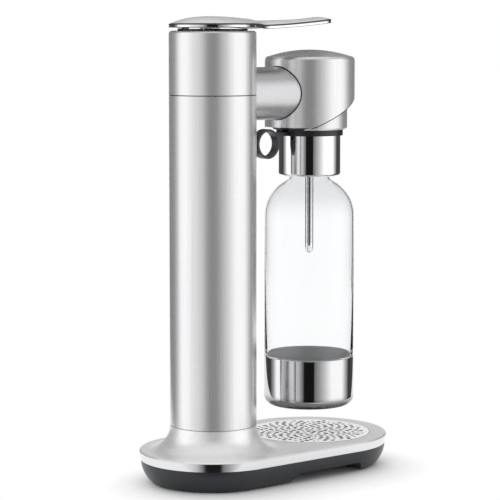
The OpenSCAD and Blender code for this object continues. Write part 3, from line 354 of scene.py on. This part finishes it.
def make_materials():
    upright, level, broad = (1400, 1400, 6), (500, 500, 500), (60, 60, 60)
    light, bright = (0.73, 0.73, 0.74), (0.79, 0.79, 0.80)
    satin_rough, mirror_rough, rubber_rough = (0.24, 0.30), (0.04, 0.06), (0.6, 0.75)
    soot, ink = (0.008, 0.008, 0.009), (0.016, 0.016, 0.017)
    # dark is the colour of painted shade, in the grate's holes and on the lever.
    dark, mirror = (0.03, 0.03, 0.033), (0.82, 0.82, 0.83)
    return {
        "satin": varied("satin_steel", light, bright, upright, satin_rough, 0.72, 0.02),
        # The head shell's inner side is painted near-black as shade.
        "head": varied("satin_head", light, bright, upright, satin_rough, 0.72, 0.02,
                       [(head_inside_shade, (0.05, 0.05, 0.055), 0.6, 0.0)]),
        "arm": varied("satin_arm", (0.60, 0.60, 0.61), (0.66, 0.66, 0.67), level, (0.34, 0.40), 0.88, 0.02),
        # The barrel and its collar carry a painted shadow under the head's edge.
        "barrel": varied("satin_barrel", light, bright, upright, satin_rough, 0.72, 0.02,
                         [(barrel_painted_shadow, (0.02, 0.02, 0.022), 0.6, 0.0)]),
        "deck": varied("satin_deck", (0.84, 0.84, 0.85), (0.90, 0.90, 0.91), (260, 260, 260), (0.30, 0.38),
                       0.55, 0.02, [(rim_band, mirror, 0.1, 1.0)]),
        # The grate's hole walls are painted dark as shade.
        "grate": varied("bright_grate", (0.86, 0.86, 0.87), (0.94, 0.94, 0.95), level, (0.12, 0.18), 0.65, 0.0,
                        [(hole_walls_shade, dark, 0.6, 0.0)]),
        "polished": varied("polished_steel", (0.81, 0.81, 0.82), (0.85, 0.85, 0.86), broad, mirror_rough, 1.0),
        "cup": varied("polished_cup", (0.66, 0.66, 0.67), (0.70, 0.70, 0.71), broad, mirror_rough, 1.0, 0.0,
                      # The foot's darker colour is a painted reflection.
                      [(foot_painted_reflection, (0.24, 0.24, 0.245), 0.08, 1.0),
                       (inside_cup, (0.88, 0.88, 0.89), 0.36, 0.7)]),
        "wand": varied("wand_steel", (0.62, 0.62, 0.63), (0.68, 0.68, 0.69), (60, 60, 400), (0.06, 0.10), 1.0),
        # The lever's underside and the lines along its edge are painted shade.
        "lever": varied("lever_steel", (0.68, 0.68, 0.69), (0.74, 0.74, 0.75), broad, (0.22, 0.28), 0.15, 0.0,
                        [(lever_rim, mirror, 0.08, 1.0), (lever_shade_lines, dark, 0.4, 0.0)]),
        "black": varied("black_plastic", (0.010, 0.012, 0.016), (0.018, 0.021, 0.027), (900, 900, 900),
                        (0.30, 0.38), 0.0, 0.04),
        "seam": varied("seam_rubber", soot, ink, level, rubber_rough, 0.0, 0.0,
                       [(low_seam, (0.38, 0.38, 0.39), 0.4, 0.7)]),
        "rubber": varied("dark_rubber", soot, ink, level, rubber_rough),
        "brass": varied("brass", (0.60, 0.44, 0.18), (0.72, 0.55, 0.25), level, (0.2, 0.3), 1.0),
        "steel": varied("plain_steel", (0.48, 0.48, 0.49), (0.58, 0.58, 0.59), level, (0.25, 0.35), 1.0),
        "alloy": varied("aluminium", (0.60, 0.61, 0.62), (0.70, 0.71, 0.72), upright, (0.3, 0.4), 1.0),
        "clear": clear_plastic(),
    }


LOOKS = {
    "satin": ["column_tube", "column_head"],
    "arm": ["arm_tube"],
    "barrel": ["clip_barrel"],
    "cup": ["bottle_cup"],
    "head": ["head_shell"],
    "deck": ["base_cover"],
    "grate": ["drip_grate"],
    "polished": ["cap_skirt", "wand_tip"],
    "wand": ["carbonating_wand"],
    "lever": ["lever_paddle"],
    "black": ["base_pan", "drip_well", "top_plate", "plunger", "pivot_ring", "clip_liner", "cap_body",
              "release_ring"],
    "seam": ["seam_rings"],
    "rubber": ["rubber_feet", "socket_seal", "arm_gasket", "nozzle_seal", "cap_seal", "neck_gasket"],
    "brass": ["valve_block", "relief_valve", "cylinder_valve", "gas_pipe", "gas_nozzle", "clip_pipe"],
    "steel": ["base_screws", "hinge_pin", "lever_bracket", "bracket_screws", "plunger_spring", "valve_poppet",
              "tilt_pins", "ring_pin", "vent_pin", "vent_spring"],
    "alloy": ["chassis_tube", "gas_cylinder"],
    "clear": ["bottle"],
}


def smoothing_group():
    """A geometry group that joins doubled points and shades smooth up to an edge angle."""
    group = bpy.data.node_groups.new("smooth_faces", "GeometryNodeTree")
    group.interface.new_socket("Geometry", in_out="INPUT", socket_type="NodeSocketGeometry")
    group.interface.new_socket("Geometry", in_out="OUTPUT", socket_type="NodeSocketGeometry")
    new, link = group.nodes.new, group.links.new
    start, end = new("NodeGroupInput"), new("NodeGroupOutput")
    merge = new("GeometryNodeMergeByDistance")
    merge.inputs["Distance"].default_value = 0.000004
    faces, edges = new("GeometryNodeSetShadeSmooth"), new("GeometryNodeSetShadeSmooth")
    faces.domain, edges.domain = "FACE", "EDGE"
    angle = new("GeometryNodeInputMeshEdgeAngle")
    small = new("FunctionNodeCompare")
    small.operation = "LESS_EQUAL"
    small.inputs["B"].default_value = SMOOTH_ANGLE
    link(start.outputs[0], merge.inputs["Geometry"])
    link(merge.outputs["Geometry"], faces.inputs["Geometry"])
    link(faces.outputs["Geometry"], edges.inputs["Geometry"])
    link(angle.outputs["Unsigned Angle"], small.inputs["A"])
    link(small.outputs["Result"], edges.inputs["Shade Smooth"])
    link(edges.outputs["Geometry"], end.inputs[0])
    return group


def dress(materials):
    group = smoothing_group()
    for look, names in LOOKS.items():
        for name in names:
            obj = nodes[name]
            obj.data.materials.clear()
            obj.data.materials.append(materials[look])
            smooth = obj.modifiers.new("smooth_faces", "NODES")
            smooth.node_group = group


# Pieces that only the scene has

def add_mesh(name, spots, faces, mat):
    mesh = bpy.data.meshes.new(name)
    mesh.from_pydata(spots, [], faces)
    mesh.materials.append(mat)
    obj = bpy.data.objects.new(name, mesh)
    scene.collection.objects.link(obj)
    return obj


def swept_faces(sides, steps):
    """The faces of a closed profile that is carried along a path, with both ends shut."""
    faces = []
    for i in range(steps):
        here, there = i * sides, (i + 1) * sides
        for k in range(sides):
            n = (k + 1) % sides
            faces.append((here + k, here + n, there + n, there + k))
    faces.append(tuple(reversed(range(sides))))
    faces.append(tuple(steps * sides + k for k in range(sides)))
    return faces


def make_cut_shadow_strip(mat):
    """A thin dark strip along the head's slanted cut, put there as painted shade for the shadow line at the
    cut.
    """
    radius, drop, wire, sides, steps = 0.0412, 0.0005, 0.0006, 8, 96
    start = math.asin((CUT_Y - BOTTLE_Y) / radius)
    spots = []
    for i in range(steps + 1):
        turn = math.pi - start + i / steps * (math.pi + 2 * start)
        out = Vector((math.cos(turn), math.sin(turn), 0))
        y = BOTTLE_Y + radius * out.y
        centre = Vector((radius * out.x, y, HEAD_LOW + CUT_SLOPE * (CUT_Y - y) - drop))
        for k in range(sides):
            a = 2 * math.pi * k / sides
            spots.append(centre + out * (wire * math.cos(a)) - Vector((0, 0, wire * math.sin(a))))
    shadow_strip = add_mesh("cut_shadow_strip", spots, swept_faces(sides, steps), mat)
    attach(shadow_strip, "stand")


def make_clip_collar(mat):
    """The upper rim of the clip barrel, which closes the head's mouth at the front."""
    outer, inner, low, high, steps = 0.0346, 0.0332, 0.3360, 0.3518, 64
    reach = math.radians(75)
    profile = [(inner, low), (inner, high), (outer, high), (outer, low)]
    spots = []
    for i in range(steps + 1):
        turn = -math.pi / 2 - reach + 2 * reach * i / steps
        spots += [(r * math.cos(turn), BOTTLE_Y + r * math.sin(turn), z) for r, z in profile]
    collar = add_mesh("clip_collar", spots, swept_faces(len(profile), steps), mat)
    collar.data.polygons.foreach_set("use_smooth", [True] * len(collar.data.polygons))
    collar.data.set_sharp_from_angle(angle=SMOOTH_ANGLE)
    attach(collar, "clip")


# Studio

# A ring of white boards and black flags stands round the set, out of the picture.
# Each pair is an angle from the camera, positive to the right, and a brightness.
BOARDS = [
    (-180, 1.0), (-166, 1.0), (-158, 0.1), (-118, 0.05), (-104, 0.5), (-93, 1.35), (-68, 1.35), (-55, 0.95),
    (-40, 0.85), (-26, 0.6), (-19, 0.3), (-14.5, 0.14), (-12.5, 0.01), (12.5, 0.01), (14.5, 0.2), (26, 0.42),
    (40, 0.75), (50, 1.05), (60, 1.35), (93, 1.35), (106, 0.6), (120, 0.05), (158, 0.1), (166, 1.0), (180, 1.0),
]
BOARD_R, BOARD_LOW, BOARD_HIGH = 2.6, -1.6, 2.2
CEILING = 0.55
GROUND = 0.06
# The board behind the object is dimmer higher up. Its heights count from the ring's middle.
REAR_ANGLE = math.radians(158)
REAR_DIM = 0.15
REAR_DIM_FROM, REAR_DIM_TO = 0.30, 0.45

LAMP_SIZE, LAMP_POWER, LAMP_HEIGHT = 2.4, 3.0, 2.1

# Corners of the floors, as distances towards the camera and to its right
SHEET = [(0.14, -0.24), (0.14, 0.24), (-3.2, 0.68), (-3.2, -0.68)]
WIDE = [(0.6, -0.6), (0.6, 0.6), (-0.6, 0.6), (-0.6, -0.6)]
FLOOR_COLOUR = (0.86, 0.86, 0.86, 1)
# Distances over which the floor turns white, from the line between the column and the bottle.
# That line is moved a little towards the camera and to its right.
FADE_START, FADE_END = 0.056, 0.106
FADE_SHIFT = back * 0.022 + right * 0.008


def make_world():
    world = bpy.data.worlds.new("studio")
    scene.world = world
    world.use_nodes = True
    tree = Tree(world.node_tree)
    white = tree.add("ShaderNodeBackground")
    white.inputs["Color"].default_value = (1, 1, 1, 1)
    out = tree.add("ShaderNodeOutputWorld")
    tree.link(white.outputs[0], out.inputs["Surface"])


def finish_board(obj, mat, tree, level):
    """Gives a board its glow. What is seen straight through the bottle is the white background."""
    path = tree.add("ShaderNodeLightPath")
    straight = tree.math("LESS_THAN", path.outputs["Glossy Depth"], 0.5)
    through = tree.math("MULTIPLY", straight, path.outputs["Is Transmission Ray"])
    glow = tree.add("ShaderNodeEmission")
    tree.link(tree.math("MAXIMUM", level, through), glow.inputs["Strength"])
    tree.surface(glow)
    obj.data.materials.append(mat)
    obj.visible_camera = False
    obj.visible_diffuse = False
    obj.visible_shadow = False


def make_boards():
    middle = (BOARD_LOW + BOARD_HIGH) / 2
    bpy.ops.mesh.primitive_cylinder_add(vertices=128, radius=BOARD_R, depth=BOARD_HIGH - BOARD_LOW,
                                        end_fill_type="NOTHING", location=(0, 0, middle))
    ring = bpy.context.object
    ring.name = "boards"
    mat, tree = new_material("boards")
    place = tree.coord()
    turn = tree.math("ARCTAN2", tree.along(place, right), tree.along(place, back))
    fac = tree.math("MULTIPLY_ADD", turn, 1 / (2 * math.pi), 0.5)
    rear = tree.math("GREATER_THAN", tree.math("ABSOLUTE", turn), REAR_ANGLE)
    high = tree.step(tree.along(place, Z), REAR_DIM_FROM, REAR_DIM_TO)
    dim = tree.math("MULTIPLY_ADD", tree.math("MULTIPLY", rear, high), REAR_DIM - 1, 1.0)
    glow = tree.ramp(fac, [((angle + 180) / 360, level) for angle, level in BOARDS])
    finish_board(ring, mat, tree, tree.math("MULTIPLY", glow, dim))
    for name, z, level in (("ceiling", BOARD_HIGH, CEILING), ("ground", BOARD_LOW, GROUND)):
        bpy.ops.mesh.primitive_circle_add(vertices=128, radius=BOARD_R, fill_type="NGON", location=(0, 0, z))
        disc = bpy.context.object
        disc.name = name
        mat, tree = new_material(name)
        finish_board(disc, mat, tree, level)


def make_lamp():
    data = bpy.data.lights.new("overhead", "AREA")
    data.shape = "DISK"
    data.size = LAMP_SIZE
    data.energy = LAMP_POWER
    lamp = bpy.data.objects.new("overhead", data)
    lamp.location = (0, 0, LAMP_HEIGHT)
    scene.collection.objects.link(lamp)


def floor_material():
    """A pale floor that keeps the shadow, turns white further out and is open from below."""
    mat, tree = new_material("pale_floor")
    shade = tree.add("ShaderNodeBsdfDiffuse")
    shade.inputs["Color"].default_value = FLOOR_COLOUR
    far = tree.add("ShaderNodeEmission")
    far.inputs["Color"].default_value = (1, 1, 1, 1)
    place = tree.coord()
    x = tree.math("SUBTRACT", tree.along(place, X), FADE_SHIFT.x)
    y = tree.math("SUBTRACT", tree.along(place, Y), FADE_SHIFT.y)
    middle = tree.math("MINIMUM", tree.math("MAXIMUM", y, BOTTLE_Y), COLUMN_Y)
    away = tree.length(x, tree.math("SUBTRACT", y, middle))
    fade = tree.ramp(away, [(FADE_START, 0.0), (FADE_END, 1.0)])
    path = tree.add("ShaderNodeLightPath").outputs
    bent = tree.math("MAXIMUM", path["Is Glossy Ray"], path["Is Transmission Ray"])
    seen = tree.math("MAXIMUM", path["Is Camera Ray"], bent)
    top = tree.mix(tree.math("MULTIPLY", fade, seen), shade, far)
    under = tree.add("ShaderNodeNewGeometry").outputs["Backfacing"]
    tree.surface(tree.mix(under, top, tree.add("ShaderNodeBsdfTransparent")))
    return mat


def make_floor():
    """Two floors. Metal shows only the sheet, which runs away from the camera."""
    mat = floor_material()
    for name, corners, z in (("floor", SHEET, -0.0003), ("wide_floor", WIDE, -0.0006)):
        points = [back * b + right * r for b, r in corners]
        floor = add_mesh(name, [(p.x, p.y, z) for p in points], [(0, 1, 2, 3)], mat)
        floor.visible_glossy = floor.visible_diffuse = name == "floor"


make_camera()
materials = make_materials()
dress(materials)
# The thin dark strip along the cut stands in for the shadow there: painted shade.
make_cut_shadow_strip(materials["rubber"])
make_clip_collar(materials["barrel"])
make_world()
make_boards()
make_lamp()
make_floor()
